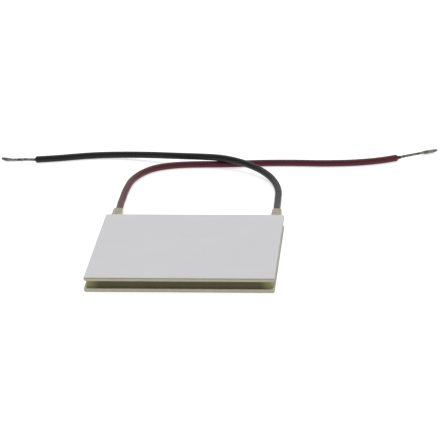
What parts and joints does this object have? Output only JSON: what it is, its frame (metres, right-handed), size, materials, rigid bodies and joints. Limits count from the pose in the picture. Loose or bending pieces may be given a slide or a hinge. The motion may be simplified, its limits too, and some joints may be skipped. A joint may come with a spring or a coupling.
{
  "type": "thermoelectric cooling module",
  "caption": "Flat square thermoelectric cooling module: two white ceramic plates with a sealed gap between them, and a red and a black lead that leave one edge in sleeves.",
  "frame": {"origin": "centre of the hot plate's outer face, which is the face that the module lies on", "axes": "+Z from the hot face to the cold face, +Y towards the edge that the leads leave, +X towards the black lead's corner"},
  "size_m": [0.1063, 0.0962, 0.0033],
  "materials": {
    "alumina": "as-fired sintered alumina, matte white",
    "copper_tab": "bare copper, satin",
    "n_telluride": "diced bismuth telluride, dark metallic grey",
    "p_telluride": "diced bismuth telluride, metallic grey",
    "solder": "reflowed solder, bright",
    "edge_sealant": "translucent sealant over dark couples, satin",
    "tinned_copper": "tinned copper strands, dull",
    "exit_sealant": "pale translucent sealant, satin",
    "clear_sleeve": "yellowed translucent tubing, satin",
    "red_jacket": "extruded flexible PVC, dark red, satin",
    "black_jacket": "extruded flexible PVC, black, satin"
  },
  "bodies": {
    "root": {"hot_plate": "alumina", "cold_plate": "alumina", "hot_tabs": "copper_tab", "cold_tabs": "copper_tab", "n_pellets": "n_telluride", "p_pellets": "p_telluride", "hot_solder": "solder", "cold_solder": "solder", "edge_seal": "edge_sealant", "red_lead_pad": "copper_tab", "black_lead_pad": "copper_tab", "red_lead_joint": "solder", "black_lead_joint": "solder", "red_wire_root": "tinned_copper", "black_wire_root": "tinned_copper", "red_exit_bead": "exit_sealant", "black_exit_bead": "exit_sealant", "red_lead_sleeve": "clear_sleeve", "black_lead_sleeve": "clear_sleeve", "red_lead": "red_jacket", "black_lead": "black_jacket", "red_wire_tip": "tinned_copper", "black_wire_tip": "tinned_copper"}
  },
  "joints": []
}
